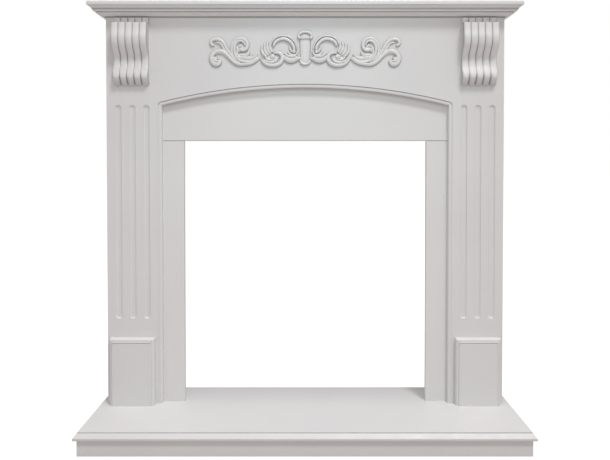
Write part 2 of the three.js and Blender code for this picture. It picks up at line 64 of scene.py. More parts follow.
photo_lens = bpy.data.cameras.new("photo_lens")
photo_lens.sensor_width = SENSOR_WIDTH
photo_lens.lens = SENSOR_WIDTH * FOCAL_LENGTH_IN_PIXELS / PHOTO_WIDTH
photo_lens.shift_x = SHIFT_IN_PIXELS[0] / PHOTO_WIDTH
photo_lens.shift_y = SHIFT_IN_PIXELS[1] / PHOTO_WIDTH
photo_camera = bpy.data.objects.new("photo_camera", photo_lens)
photo_camera.location = (0.0058, -1.7587, 0.6618)
photo_camera.rotation_euler = (math.radians(90 - TILT_DOWN), 0, 0)
bpy.context.scene.collection.objects.link(photo_camera)
bpy.context.scene.camera = photo_camera
print("the lens is", round(photo_lens.lens, 1), "mm long on a", SENSOR_WIDTH, "mm sensor")

# %% [markdown]
# ## The room
#
# The surround stands in a white studio: a pale floor without edges, white all round, and three lamps. The
# main lamp hangs high in front, well to the right, which is why the flutes of the left leg show more than
# those of the right one. A second lamp far up lights all that faces up, and a bluish spot is turned to
# the carving. The world gives the even light that fills the shadows. The camera sees a brighter white
# than the one that lights the paint, as in a picture that was cut out on white.

# %% White surroundings
studio = bpy.data.worlds.new("white_studio")
studio.use_nodes = True
bpy.context.scene.world = studio
bpy.context.scene.view_settings.view_transform = "Standard"
world_nodes = studio.node_tree.nodes
world_links = studio.node_tree.links
world_light = world_nodes["Background"]
world_light.inputs["Color"].default_value = (1, 0.965, 0.97, 1)
world_light.inputs["Strength"].default_value = 0.44
seen_white = world_nodes.new("ShaderNodeBackground")
seen_white.inputs["Color"].default_value = (1, 1, 1, 1)
seen_white.inputs["Strength"].default_value = 1.0
ray_kind = world_nodes.new("ShaderNodeLightPath")
world_mix = world_nodes.new("ShaderNodeMixShader")
world_links.new(ray_kind.outputs["Is Camera Ray"], world_mix.inputs["Fac"])
world_links.new(world_light.outputs["Background"], world_mix.inputs[1])
world_links.new(seen_white.outputs["Background"], world_mix.inputs[2])
world_links.new(world_mix.outputs["Shader"], world_nodes["World Output"].inputs["Surface"])


def soft_light(name, size, watts, tint):
    lamp = bpy.data.lights.new(name, "AREA")
    lamp.size = size
    lamp.energy = watts
    lamp.color = tint
    return lamp


def hang(lamp, place, target):
    """Put a lamp at a place and turn it towards its target."""
    holder = bpy.data.objects.new(lamp.name, lamp)
    holder.location = place
    holder.rotation_euler = (Vector(target) - Vector(place)).to_track_quat("-Z", "Y").to_euler()
    bpy.context.scene.collection.objects.link(holder)
    print(lamp.name, "hangs", place[2], "m high and has", round(lamp.energy), "W")


picture_spot = bpy.data.lights.new("picture_spot", "SPOT")
picture_spot.energy = 46
picture_spot.spot_size = math.radians(28)
picture_spot.spot_blend = 1
picture_spot.shadow_soft_size = 0.3
picture_spot.color = (0.72, 0.92, 1)

hang(soft_light("high_window", 1.0, 122, (1, 0.98, 0.975)), (1.25, -2.9, 5.3), (0, 0, 0.7))
hang(soft_light("ceiling_light", 1.2, 125, (1, 0.95, 0.98)), (0.1, -0.7, 7.5), (0, -0.1, 0))
hang(picture_spot, (0.1, -2.3, 1.9), (0, 0, 0.77))

# %% [markdown]
# The floor is one wide plane. It belongs to the room and not to the surround.
# It glows in two strengths: the camera sees it nearly as white as the world, so no horizon shows, and the
# surround gets the weaker, warmer light that a real floor throws back.

# %% Pale floor
FLOOR_SIZE = 60

floor_mesh = bpy.data.meshes.new("pale_floor")
half_floor = FLOOR_SIZE / 2
floor_corners = [(-half_floor, -half_floor, 0), (half_floor, -half_floor, 0)]
floor_corners += [(half_floor, half_floor, 0), (-half_floor, half_floor, 0)]
floor_mesh.from_pydata(floor_corners, [], [(0, 1, 2, 3)])
pale_floor = bpy.data.objects.new("pale_floor", floor_mesh)
bpy.context.scene.collection.objects.link(pale_floor)

floor_paint = bpy.data.materials.new("floor_white")
floor_paint.use_nodes = True
floor_nodes = floor_paint.node_tree.nodes
floor_links = floor_paint.node_tree.links
floor_shader = floor_nodes["Principled BSDF"]
floor_shader.inputs["Base Color"].default_value = (0.25, 0.25, 0.25, 1)
floor_shader.inputs["Roughness"].default_value = 0.9
floor_shader.inputs["Specular IOR Level"].default_value = 0.1
floor_glow = floor_nodes.new("ShaderNodeEmission")
floor_glow.inputs["Color"].default_value = (1, 1, 1, 1)
floor_glow.inputs["Strength"].default_value = 0.94
floor_ray = floor_nodes.new("ShaderNodeLightPath")
floor_bounce = floor_nodes.new("ShaderNodeEmission")
floor_bounce.inputs["Color"].default_value = (1, 0.89, 0.83, 1)
floor_bounce.inputs["Strength"].default_value = 0.37
floor_pick = floor_nodes.new("ShaderNodeMixShader")
floor_sum = floor_nodes.new("ShaderNodeAddShader")
floor_links.new(floor_ray.outputs["Is Camera Ray"], floor_pick.inputs["Fac"])
floor_links.new(floor_bounce.outputs["Emission"], floor_pick.inputs[1])
floor_links.new(floor_glow.outputs["Emission"], floor_pick.inputs[2])
floor_links.new(floor_pick.outputs["Shader"], floor_sum.inputs[0])
floor_links.new(floor_shader.outputs["BSDF"], floor_sum.inputs[1])
floor_links.new(floor_sum.outputs["Shader"], floor_nodes["Material Output"].inputs["Surface"])
floor_mesh.materials.append(floor_paint)
print("the floor is", FLOOR_SIZE, "m wide")

# %% [markdown]
# ## The paint
#
# Sprayed satin paint looks plain from afar. Close up it has three marks of how it was made: the film lies
# in tiny soft waves, its gloss changes a little from place to place, and its white is never quite even.
# One node group holds all three, so that each material can set its own strength.

# %% Node group: sprayed film
def group_sockets(group, ins, outs):
    """Give a node group its named sockets, and return its two end nodes."""
    for name, kind, value in ins:
        socket = group.interface.new_socket(name=name, in_out="INPUT", socket_type=kind)
        socket.default_value = value
    for name, kind in outs:
        group.interface.new_socket(name=name, in_out="OUTPUT", socket_type=kind)
    return group.nodes.new("NodeGroupInput"), group.nodes.new("NodeGroupOutput")


FLOAT = "NodeSocketFloat"
COLOUR = "NodeSocketColor"
CLOUD_SCALE = 5.0
STREAK_SCALE = 37.0
WAVE_SCALE = 420.0


def noise(group, place, scale, detail):
    node = group.nodes.new("ShaderNodeTexNoise")
    node.inputs["Scale"].default_value = scale
    node.inputs["Detail"].default_value = detail
    group.links.new(place, node.inputs["Vector"])
    return node


def spread(group, value, low, high):
    """Spread the middle part of a noise over the whole way from low to high."""
    node = group.nodes.new("ShaderNodeMapRange")
    node.inputs["From Min"].default_value = 0.3
    node.inputs["From Max"].default_value = 0.7
    group.links.new(value, node.inputs["Value"])
    for socket, name in ((low, "To Min"), (high, "To Max")):
        if isinstance(socket, (int, float)):
            node.inputs[name].default_value = socket
        else:
            group.links.new(socket, node.inputs[name])
    return node.outputs["Result"]


def make_sprayed_film():
    group = bpy.data.node_groups.new("sprayed_film", "ShaderNodeTree")
    ins = [
        ("Light White", COLOUR, (0.8, 0.8, 0.8, 1)),
        ("Dark White", COLOUR, (0.77, 0.77, 0.77, 1)),
        ("Smooth Gloss", FLOAT, 0.36),
        ("Dull Gloss", FLOAT, 0.48),
    ]
    outs = [("Color", COLOUR), ("Roughness", FLOAT), ("Film Height", FLOAT)]
    source, result = group_sockets(group, ins, outs)
    place = group.nodes.new("ShaderNodeTexCoord").outputs["Object"]
    clouds = noise(group, place, CLOUD_SCALE, 3.0)
    streaks = noise(group, place, STREAK_SCALE, 2.0)
    waves = noise(group, place, WAVE_SCALE, 1.5)
    blend = group.nodes.new("ShaderNodeMix")
    blend.data_type = "RGBA"
    cloud_share = spread(group, clouds.outputs["Fac"], 0.0, 1.0)
    group.links.new(cloud_share, blend.inputs["Factor"])
    group.links.new(source.outputs["Light White"], blend.inputs["A"])
    group.links.new(source.outputs["Dark White"], blend.inputs["B"])
    smooth, dull = source.outputs["Smooth Gloss"], source.outputs["Dull Gloss"]
    gloss = spread(group, streaks.outputs["Fac"], smooth, dull)
    group.links.new(blend.outputs["Result"], result.inputs["Color"])
    group.links.new(gloss, result.inputs["Roughness"])
    group.links.new(waves.outputs["Fac"], result.inputs["Film Height"])
    return group


sprayed_film = make_sprayed_film()
film_outputs = [item.name for item in sprayed_film.interface.items_tree if item.in_out == "OUTPUT"]
print("node group", sprayed_film.name, "has outputs", film_outputs)

# %% [markdown]
# Grooves, creases and undersides lie in shade, and this shade is painted into the colour as well. The
# moulded and carved pieces carry a number at each corner, called hollow, which is 1 at the bottom of a
# groove or another shaded place and 0 on a ridge. This second group darkens the white by that number, as
# painted shade.

# %% Node group: painted shade in hollows
def make_painted_crease_shade():
    group = bpy.data.node_groups.new("painted_crease_shade", "ShaderNodeTree")
    ins = [
        ("Color", COLOUR, (0.8, 0.8, 0.8, 1)),
        ("Groove Grey", COLOUR, (0.4, 0.4, 0.4, 1)),
        ("Amount", FLOAT, 0.5),
    ]
    source, result = group_sockets(group, ins, [("Color", COLOUR)])
    # painted shade: the hollow number darkens the white where grooves and creases lie in shade
    hollow = group.nodes.new("ShaderNodeAttribute")
    hollow.attribute_name = "hollow"
    share = group.nodes.new("ShaderNodeMath")
    share.operation = "MULTIPLY"
    group.links.new(hollow.outputs["Fac"], share.inputs[0])
    group.links.new(source.outputs["Amount"], share.inputs[1])
    blend = group.nodes.new("ShaderNodeMix")
    blend.data_type = "RGBA"
    group.links.new(share.outputs["Value"], blend.inputs["Factor"])
    group.links.new(source.outputs["Color"], blend.inputs["A"])
    group.links.new(source.outputs["Groove Grey"], blend.inputs["B"])
    group.links.new(blend.outputs["Result"], result.inputs["Color"])
    return group


painted_crease_shade = make_painted_crease_shade()
print("node group", painted_crease_shade.name, "is ready")

# %% [markdown]
# The four materials differ as the real finishes do: the boards are plain and satin, the slips a little
# whiter and duller, and the carving has the most gloss. Each also sets the grey of the painted shade in its
# grooves; the carving's creases get the darkest. The waves of the film are a bump of a fifth of a
# millimetre.

# %% Four painted finishes
WAVE_HEIGHT = 0.0002


def satin_paint(name, light, dark, gloss, waves, groove, amount):
    material = bpy.data.materials.new(name)
    material.use_nodes = True
    tree = material.node_tree
    shader = tree.nodes["Principled BSDF"]
    film = tree.nodes.new("ShaderNodeGroup")
    film.node_tree = sprayed_film
    film.inputs["Light White"].default_value = (*light, 1)
    film.inputs["Dark White"].default_value = (*dark, 1)
    film.inputs["Smooth Gloss"].default_value = gloss[0]
    film.inputs["Dull Gloss"].default_value = gloss[1]
    # the second group paints shade into the grooves and creases
    grey = tree.nodes.new("ShaderNodeGroup")
    grey.node_tree = painted_crease_shade
    grey.inputs["Groove Grey"].default_value = (*groove, 1)
    grey.inputs["Amount"].default_value = amount
    bump = tree.nodes.new("ShaderNodeBump")
    bump.inputs["Strength"].default_value = waves
    bump.inputs["Distance"].default_value = WAVE_HEIGHT
    tree.links.new(film.outputs["Color"], grey.inputs["Color"])
    tree.links.new(grey.outputs["Color"], shader.inputs["Base Color"])
    tree.links.new(film.outputs["Roughness"], shader.inputs["Roughness"])
    tree.links.new(film.outputs["Film Height"], bump.inputs["Height"])
    tree.links.new(bump.outputs["Normal"], shader.inputs["Normal"])
    shader.inputs["Specular IOR Level"].default_value = 0.5
    return material


# groove is the grey of the painted shade in each finish's grooves and creases
board_paint = satin_paint(
    "satin_board",
    light=(0.79, 0.79, 0.785),
    dark=(0.765, 0.765, 0.765),
    gloss=(0.38, 0.5),
    waves=0.25,
    groove=(0.3, 0.3, 0.3),
    amount=0.8,
)
slip_paint = satin_paint(
    "satin_slip",
    light=(0.81, 0.81, 0.8),
    dark=(0.785, 0.785, 0.78),
    gloss=(0.42, 0.55),
    waves=0.25,
    groove=(0.2, 0.2, 0.2),
    amount=0.9,
)
moulding_paint = satin_paint(
    "satin_moulding",
    light=(0.8, 0.8, 0.795),
    dark=(0.775, 0.775, 0.77),
    gloss=(0.38, 0.48),
    waves=0.2,
    groove=(0.36, 0.35, 0.35),
    amount=0.85,
)
ornament_paint = satin_paint(
    "satin_ornament",
    light=(0.82, 0.82, 0.815),
    dark=(0.8, 0.8, 0.795),
    gloss=(0.26, 0.36),
    waves=0.2,
    groove=(0.14, 0.14, 0.14),
    amount=0.9,
)
FINISHES = {
    "board_paint": board_paint,
    "slip_paint": slip_paint,
    "moulding_paint": moulding_paint,
    "ornament_paint": ornament_paint,
}
print("finishes:", sorted(FINISHES))

# %% [markdown]
# ## Tools for the mouldings
#
# A moulding is a section that runs along a path. In mesh code that is a row of rings: each ring holds the
# points of the section, and neighbouring rings are joined with four-sided faces. All sizes below are in
# millimetres, as on a workshop drawing, and become metres only when the mesh is made.

# %% Points of a section and a skin over rings
MM = 0.001
ARC_STEPS = 10


def quarter_round(start, end, leaves_flat):
    """Points of a quarter round. It leaves start along the first number when leaves_flat is true."""
    points = []
    for i in range(ARC_STEPS + 1):
        angle = i / ARC_STEPS * math.pi / 2
        across = math.sin(angle) if leaves_flat else 1 - math.cos(angle)
        up = 1 - math.cos(angle) if leaves_flat else math.sin(angle)
        points.append((start[0] + (end[0] - start[0]) * across, start[1] + (end[1] - start[1]) * up))
    return points


def smooth_curve(points, count):
    """Points along a smooth curve through the given ones, evenly spread over its pieces."""
    knots = np.array(points, float)
    padded = np.vstack([knots[:1], knots, knots[-1:]])
    places = np.linspace(0, len(knots) - 1, count)
    piece = np.minimum(places.astype(int), len(knots) - 2)
    t = (places - piece)[:, None]
    a, b, c, d = (padded[piece + k] for k in range(4))
    return b + 0.5 * t * ((c - a) + t * (2 * a - 5 * b + 4 * c - d + t * (3 * (b - c) + d - a)))


def clean(points):
    """The same points of a section, with a third number that says they are not hollow."""
    return [(a, b, 0.0) for a, b in points]


def clamp(value):
    """The value, kept between 0 and 1."""
    return min(1.0, max(0.0, value))


def skin(rings):
    """Corners and faces of a closed skin over rings of equal size."""
    size = len(rings[0])
    corners = [tuple(p) for ring in rings for p in ring]
    faces = []
    for r in range(len(rings) - 1):
        for i in range(size):
            a, b = r * size + i, r * size + (i + 1) % size
            faces.append((a, b, b + size, a + size))
    faces.append(tuple(range(size))[::-1])
    faces.append(tuple(range((len(rings) - 1) * size, len(rings) * size)))
    return corners, faces


print("a quarter round has", len(quarter_round((0, 0), (10, 10), True)), "points")

# %% [markdown]
# One helper turns corners and faces into a finished piece. It merges corners that lie on each other,
# turns all faces outwards, shades soft bends smoothly and keeps true edges sharp. Then it lets the piece
# ride on the frame, stand for its imported node and wear its finish.

# %% Make a piece
MERGE_DISTANCE = 0.00001
SHARP_ANGLE = 32


def make_piece(name, shells, finish, stands_for, sharp_angle=SHARP_ANGLE, hollow=None):
    """Make one piece of its shells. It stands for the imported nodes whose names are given."""
    corners, faces = [], []
    for shell_corners, shell_faces in shells:
        base = len(corners)
        corners += shell_corners
        faces += [tuple(base + i for i in face) for face in shell_faces]
    mesh = bpy.data.meshes.new(name)
    mesh.from_pydata([(x * MM, y * MM, z * MM) for x, y, z in corners], [], faces)
    if hollow is not None:
        mask = mesh.attributes.new("hollow", "FLOAT", "POINT")
        mask.data.foreach_set("value", np.array(hollow, np.float32))
    work = bmesh.new()
    work.from_mesh(mesh)
    bmesh.ops.remove_doubles(work, verts=work.verts, dist=MERGE_DISTANCE)
    bmesh.ops.recalc_face_normals(work, faces=work.faces)
    work.to_mesh(mesh)
    work.free()
    mesh.shade_smooth()
    mesh.set_sharp_from_angle(angle=math.radians(sharp_angle))
    mesh.materials.append(FINISHES[finish])
    piece = bpy.data.objects.new(name, mesh)
    bpy.context.scene.collection.objects.link(piece)
    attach(piece, "root")
    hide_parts(*stands_for)
    print(name, "has", len(mesh.polygons), "faces")
    return piece


def soften_edges(thing, width, segments=2):
    """A fine sanded round on the piece's sharp edges."""
    sanded = thing.modifiers.new("sanded_edges", "BEVEL")
    sanded.width = width * MM
    sanded.segments = segments
    sanded.limit_method = "ANGLE"
    sanded.angle_limit = math.radians(40)
    sanded.harden_normals = True


print("corners closer than", round(MERGE_DISTANCE / MM, 3), "mm become one")

# %% [markdown]
# ## Plain boards
#
# The hearth's rails and the side panels are sawn boards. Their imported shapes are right, so the nodes
# stay, and only get paint and the small rounds that sandpaper leaves on an edge. The Bevel modifier does
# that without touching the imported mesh.

# %% Rails and side panels
PLAIN_BOARDS = ["hearth_front_rail", "hearth_left_rail", "hearth_right_rail", "hearth_back_rail"]
PLAIN_BOARDS += ["left_side_panel", "right_side_panel"]

for name in PLAIN_BOARDS:
    packed_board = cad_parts[name]
    packed_board.data.materials.clear()
    packed_board.data.materials.append(board_paint)
    soften_edges(packed_board, 0.6)
print("painted", len(PLAIN_BOARDS), "boards")

# %% [markdown]
# ## Shelf and hearth slab
#
# Both are slabs whose front and two ends carry the same moulded edge. The shelf has a cove, a fine groove
# and a rounded lip. The hearth's slab has an upright lip and a broad slope up to a narrow groove round
# its flat top. The section runs along a path with four stations: back left, front left, front right and
# back right. At the two front stations it leans along the diagonal, which makes a true mitre.

# %% Moulded slabs
FRAME_HALF_WIDTH = 495
BACK_Y = 166
FACE_Y = 36
HEARTH_TOP_Z = 55
BOARD_TOP_Z = 1036.5
SHELF_TOP_Z = 1054.5
HEARTH_HALF_WIDTH = 515
HEARTH_FRONT_Y = -160


def moulded_slab(edge, half_width, front_y):
    """A slab and its mask. The edge holds (out, z, hollow) from the bottom to the top."""
    stations = [(-half_width, BACK_Y, -1, 0), (-half_width, front_y, -1, -1)]
    stations += [(half_width, front_y, 1, -1), (half_width, BACK_Y, 1, 0)]
    rings = [[(x + out * dx, y + out * dy, z) for out, z, _ in edge] for x, y, dx, dy in stations]
    size = len(edge)
    corners = [p for ring in rings for p in ring]
    faces = []
    for r in range(3):
        for i in range(size - 1):
            a = r * size + i
            faces.append((a, a + 1, a + 1 + size, a + size))
    first = [r * size for r in range(4)]
    faces.append(tuple(first))
    faces.append(tuple(i + size - 1 for i in first)[::-1])
    faces.append(tuple(range(size)) + tuple(range(4 * size - 1, 3 * size - 1, -1)))
    mask = [hollow for _ in stations for _, _, hollow in edge]
    return (corners, faces), mask


# the third number paints shade into the quirks at the board and under the lip
shelf_edge = [(28, BOARD_TOP_Z, 0.6), (28, 1038.3, 0.6)]
shelf_edge += clean(quarter_round((29, 1038.3), (36, 1045.5), False))
shelf_edge += [(36, 1045.9, 0.8), (38, 1045.5, 0)]
shelf_edge += clean(quarter_round((38, 1051.9), (35.4, SHELF_TOP_Z), False))
shell, mask = moulded_slab(shelf_edge, FRAME_HALF_WIDTH, FACE_Y)
mantel_shelf = make_piece("mantel_shelf_fine", [shell], "board_paint", ["mantel_shelf"], hollow=mask)
soften_edges(mantel_shelf, 0.3)

# the third number paints shade into the quirks along the lip and round the top
slab_edge = [(3, 37, 0.6), (5.4, 37.4, 0.3), (6, 38.4, 0), (6, 42.4, 0.2)]
slab_edge += [(5.2, 43.4, 0), (4.2, 44.6, 0), (-1.8, 52.2, 0)]
slab_edge += [(-2.4, 52.6, 0.3), (-3, 52.2, 0.6), (-3.2, 53, 0.5), (-3.2, HEARTH_TOP_Z, 0)]
shell, mask = moulded_slab(slab_edge, HEARTH_HALF_WIDTH, HEARTH_FRONT_Y)
hearth_slab = make_piece("hearth_slab_fine", [shell], "board_paint", ["hearth_slab"], hollow=mask)
soften_edges(hearth_slab, 0.25)

# %% [markdown]
# ## Cornice
#
# The cornice under the shelf is three lengths of one moulding, mitred at the corners. Its section climbs
# outwards: a lip, a sloping soffit, a fillet, a step, and a round that meets the shelf. The two mitres
# keep a hairline gap.

# %% Three lengths of cornice
CORNICE_BOTTOM_Z = 1018.2
MITRE_CUT = 0.21

# the third number paints shade into the quirks under the lip and above the fillet, and where the round
# meets the board
cornice_section = [(0, CORNICE_BOTTOM_Z, 0), (1.8, CORNICE_BOTTOM_Z, 0), (1.8, 1019.8, 0)]
cornice_section += [(0.3, 1020.2, 1), (0.3, 1022, 1), (3.2, 1022.2, 0.7), (5, 1022.7, 0)]
cornice_section += [(19.5, 1027.6, 0), (19.5, 1029.6, 0), (18.2, 1029.9, 1), (18.2, 1031, 1)]
cornice_section += [(20.5, 1031.2, 0)]
cornice_section += clean(quarter_round((20.5, 1031.2), (26.5, 1034.6), True))[1:]
cornice_section += [(26.5, 1035.6, 0), (25.4, BOARD_TOP_Z, 0.8), (0, BOARD_TOP_Z, 0)]


def cornice_front():
    half = FRAME_HALF_WIDTH - MITRE_CUT
    left = [(-half - out, FACE_Y - out, z) for out, z, _ in cornice_section]
    right = [(half + out, FACE_Y - out, z) for out, z, _ in cornice_section]
    return skin([left, right])


def cornice_return(side):
    across = [side * (FRAME_HALF_WIDTH + out) for out, _, _ in cornice_section]
    front = [(x, FACE_Y - out + MITRE_CUT, z) for x, (out, z, _) in zip(across, cornice_section)]
    back = [(x, BACK_Y, z) for x, (_, z, _) in zip(across, cornice_section)]
    return skin([front, back])


cornice_pieces = {
    "cornice_front": cornice_front(),
    "cornice_left": cornice_return(-1),
    "cornice_right": cornice_return(1),
}
# the painted shade of the section, at both ends of each length
cornice_mask = [hollow for _ in range(2) for _, _, hollow in cornice_section]
for node, shell in cornice_pieces.items():
    soften_edges(make_piece(node + "_fine", [shell], "moulding_paint", [node], hollow=cornice_mask), 0.25)

# %% [markdown]
# ## Front board
#
# The front is one board with an arched opening. A router ran round the opening and left a small step and
# a round, and it cut three stopped flutes in each leg. The arch is a shallow part of a large circle, and
# its line is needed at several distances from the opening, once for each point of the routed section.

# %% The outline of the arch
ARCH_HALF_WIDTH = 358
ARCH_SPRING_Z = 803
ARCH_RISE = 44
ARCH_STEPS = 64
ARCH_RADIUS = (ARCH_HALF_WIDTH ** 2 + ARCH_RISE ** 2) / (2 * ARCH_RISE)
ARCH_CENTRE_Z = ARCH_SPRING_Z + ARCH_RISE - ARCH_RADIUS


def arch_outline(distance):
    """The opening's outline moved outwards, from the foot of the left leg to the foot of the right leg."""
    spring = math.asin(ARCH_HALF_WIDTH / ARCH_RADIUS)
    side = ARCH_HALF_WIDTH + distance
    right = [(side, HEARTH_TOP_Z), (side, 400), (side, ARCH_SPRING_Z)]
    for i in range(1, ARC_STEPS + 1):
        angle = i / ARC_STEPS * (math.pi / 2 - spring)
        x = ARCH_HALF_WIDTH + distance * math.cos(angle)
        right.append((x, ARCH_SPRING_Z + distance * math.sin(angle)))
    for i in range(1, ARCH_STEPS // 2):
        angle = spring * (1 - i / (ARCH_STEPS / 2))
        reach = ARCH_RADIUS + distance
        right.append((reach * math.sin(angle), ARCH_CENTRE_Z + reach * math.cos(angle)))
    crown = [(0, ARCH_CENTRE_Z + ARCH_RADIUS + distance)]
    return [(-x, z) for x, z in right] + crown + right[::-1]


print("the arch is part of a circle", round(ARCH_RADIUS), "mm in radius")

# %% [markdown]
# A flute is a shallow trough with round ends and a flattish bottom. So it is made of rings in the shape
# of a stadium, which shrink towards the middle line as they go down.

# %% One flute
FLUTE_HALF_WIDTH = 8
FLUTE_DEPTH = 4.2
FLUTE_BOTTOM_Z = 269
FLUTE_TOP_Z = 804
FLUTE_SPACING = 35
LEG_CENTRE = 431
FLUTE_RINGS = 12
NEARLY_NOTHING = 0.02


def flute_ring(centre, half_width):
    """A stadium shape round the flute's middle line, deeper the narrower it is."""
    depth = FLUTE_DEPTH * (1 - (half_width / FLUTE_HALF_WIDTH) ** 4) ** 0.6
    ring = []
    ends = ((FLUTE_TOP_Z - FLUTE_HALF_WIDTH, 0), (FLUTE_BOTTOM_Z + FLUTE_HALF_WIDTH, math.pi))
    for end, start_angle in ends:
        for i in range(2 * ARC_STEPS + 1):
            angle = start_angle + i / (2 * ARC_STEPS) * math.pi
            x = centre + half_width * math.cos(angle)
            ring.append((x, FACE_Y + depth, end + half_width * math.sin(angle)))
    return ring


def flute_rings(centre):
    turns = [k / FLUTE_RINGS * math.pi / 2 for k in range(FLUTE_RINGS)]
    widths = [FLUTE_HALF_WIDTH * math.cos(turn) ** 0.8 for turn in turns]
    return [flute_ring(centre, width) for width in widths + [NEARLY_NOTHING]]


flute_centres = [side * LEG_CENTRE + k * FLUTE_SPACING for side in (-1, 1) for k in (-1, 0, 1)]
print("flutes stand at x =", flute_centres)

# %% [markdown]
# The routed edge is a row of outlines, each at its own distance from the opening and its own depth. Down
# the legs the step is shallower than round the arch. The flat face is filled between the outline and the
# flutes, and the rear face between the outline and the board's edges. The hollow mask paints shade into
# the routed step and the inner edge, round the arch only.

# %% The board with its arch and flutes
BOARD_BACK_Y = 53
LEG_ROUT_SHARE = 0.45
STEP_POINTS = range(1, 6)
BOARD_MERGE_DISTANCE = 0.00003

rout_section = [(9, 0), (9, 1.2), (9, 2.4), (8.2, 2.4), (7.6, 1.7), (5, 1.6)]
rout_section += [*quarter_round((3.4, 1.6), (0, 5), True), (0, 9), (0, BOARD_BACK_Y - FACE_Y)]
ROUT_PAINTED_SHADE = {1: 0.6, 2: 1, 3: 1, 4: 0.2, len(rout_section) - 2: 0.8, len(rout_section) - 1: 1}


def front_board_mesh():
    work = bmesh.new()
    hollow = work.verts.layers.float.new("hollow")
    top = [(FRAME_HALF_WIDTH, BOARD_TOP_Z), (-FRAME_HALF_WIDTH, BOARD_TOP_Z)]
    feet = [(-FRAME_HALF_WIDTH, HEARTH_TOP_Z), (FRAME_HALF_WIDTH, HEARTH_TOP_Z)]

    def corner(x, y, z):
        return work.verts.new((x * MM, y * MM, z * MM))

    def rout_depth(k, depth, z):
        return depth * LEG_ROUT_SHARE if k in STEP_POINTS and z < ARCH_SPRING_Z else depth

    rows = []
    for k, (distance, depth) in enumerate(rout_section):
        rows.append([corner(x, FACE_Y + rout_depth(k, depth, z), z) for x, z in arch_outline(distance)])
    # painted shade along the routed line, round the arch only
    for k, share in ROUT_PAINTED_SHADE.items():
        for vertex in rows[k]:
            vertex[hollow] = share if vertex.co.z > ARCH_SPRING_Z * MM else 0
    for upper, lower in zip(rows, rows[1:]):
        for i in range(len(upper) - 1):
            work.faces.new((upper[i], upper[i + 1], lower[i + 1], lower[i]))
    front = [corner(feet[0][0], FACE_Y, feet[0][1]), corner(feet[1][0], FACE_Y, feet[1][1])]
    front += [corner(x, FACE_Y, z) for x, z in top]
    back = [corner(feet[0][0], BOARD_BACK_Y, feet[0][1]), corner(feet[1][0], BOARD_BACK_Y, feet[1][1])]
    back += [corner(x, BOARD_BACK_Y, z) for x, z in top]
    for a, b in ((1, 2), (2, 3), (3, 0)):
        work.faces.new((front[a], front[b], back[b], back[a]))
    work.faces.new([front[0]] + [row[0] for row in rows] + [back[0]])
    work.faces.new([front[1]] + [row[-1] for row in rows] + [back[1]])
    hole_edges = []
    for centre in flute_centres:
        rings = [[corner(*p) for p in ring] for ring in flute_rings(centre)]
        size = len(rings[0])
        for outer, inner in zip(rings, rings[1:]):
            for i in range(size):
                k = (i + 1) % size
                work.faces.new((outer[i], outer[k], inner[k], inner[i]))
        hole_edges += [work.edges.get((rings[0][i], rings[0][(i + 1) % size])) for i in range(size)]
    for sheet, plate, extra in ((rows[0], front, hole_edges), (rows[-1], back, [])):
        rim = [plate[0], *sheet, plate[1], plate[2], plate[3]]
        pairs = zip(rim, rim[1:] + rim[:1])
        edges = [work.edges.get(pair) or work.edges.new(pair) for pair in pairs]
        bmesh.ops.triangle_fill(work, edges=edges + extra, use_beauty=True, use_dissolve=False)
    bmesh.ops.remove_doubles(work, verts=work.verts, dist=BOARD_MERGE_DISTANCE)
    bmesh.ops.recalc_face_normals(work, faces=work.faces)
    mesh = bpy.data.meshes.new("front_board_fine")
    work.to_mesh(mesh)
    work.free()
    return mesh


board_mesh = front_board_mesh()
board_mesh.shade_smooth()
board_mesh.set_sharp_from_angle(angle=math.radians(SHARP_ANGLE))
board_mesh.materials.append(board_paint)
front_board = bpy.data.objects.new("front_board_fine", board_mesh)
bpy.context.scene.collection.objects.link(front_board)
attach(front_board, "root")
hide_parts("front_board")
print("the front board has", len(board_mesh.polygons), "faces")

# %% [markdown]
# ## Slips
#
# The three slips lie behind the arch, round the opening for the fire. The header butts on the two side
# slips, and both edges of that joint have a small chamfer, so the joint shows as a fine dark line. Paint
# The hollow mask also paints shade into the bottom of the line.

# %% Three slips with their joints
SLIP_BACK_Y = 69
SLIP_OUTER_X = 377
FIRE_HALF_WIDTH = 305
FIRE_TOP_Z = 715
HEADER_TOP_Z = 900
JOINT_CHAMFER = 1.2
SHADE_FADE_WIDTH = 0.6


def slip(low_x, high_x, far_z):
    """A board from far_z to the joint at the height of the opening's top."""
    away = 1 if far_z > FIRE_TOP_Z else -1
    # the third number paints shade into the joint's chamfer and fades out just beside it
    section = [(BOARD_BACK_Y, far_z, 0)]
    section += [(BOARD_BACK_Y, FIRE_TOP_Z + away * (JOINT_CHAMFER + SHADE_FADE_WIDTH), 0)]
    section += [(BOARD_BACK_Y, FIRE_TOP_Z + away * JOINT_CHAMFER, 0.2)]
    section += [(BOARD_BACK_Y + JOINT_CHAMFER, FIRE_TOP_Z, 0.7)]
    section += [(BOARD_BACK_Y + 2 * JOINT_CHAMFER, FIRE_TOP_Z, 0)]
    section += [(SLIP_BACK_Y, FIRE_TOP_Z, 0), (SLIP_BACK_Y, far_z, 0)]
    rings = [[(x, y, z) for y, z, _ in section] for x in (low_x, high_x)]
    return skin(rings), [hollow for _ in rings for _, _, hollow in section]


SLIPS = {
    "header_slip": slip(-SLIP_OUTER_X, SLIP_OUTER_X, HEADER_TOP_Z),
    "left_slip": slip(-SLIP_OUTER_X, -FIRE_HALF_WIDTH, HEARTH_TOP_Z),
    "right_slip": slip(FIRE_HALF_WIDTH, SLIP_OUTER_X, HEARTH_TOP_Z),
}
for node, (shell, mask) in SLIPS.items():
    soften_edges(make_piece(node + "_fine", [shell], "slip_paint", [node], hollow=mask), 0.3)

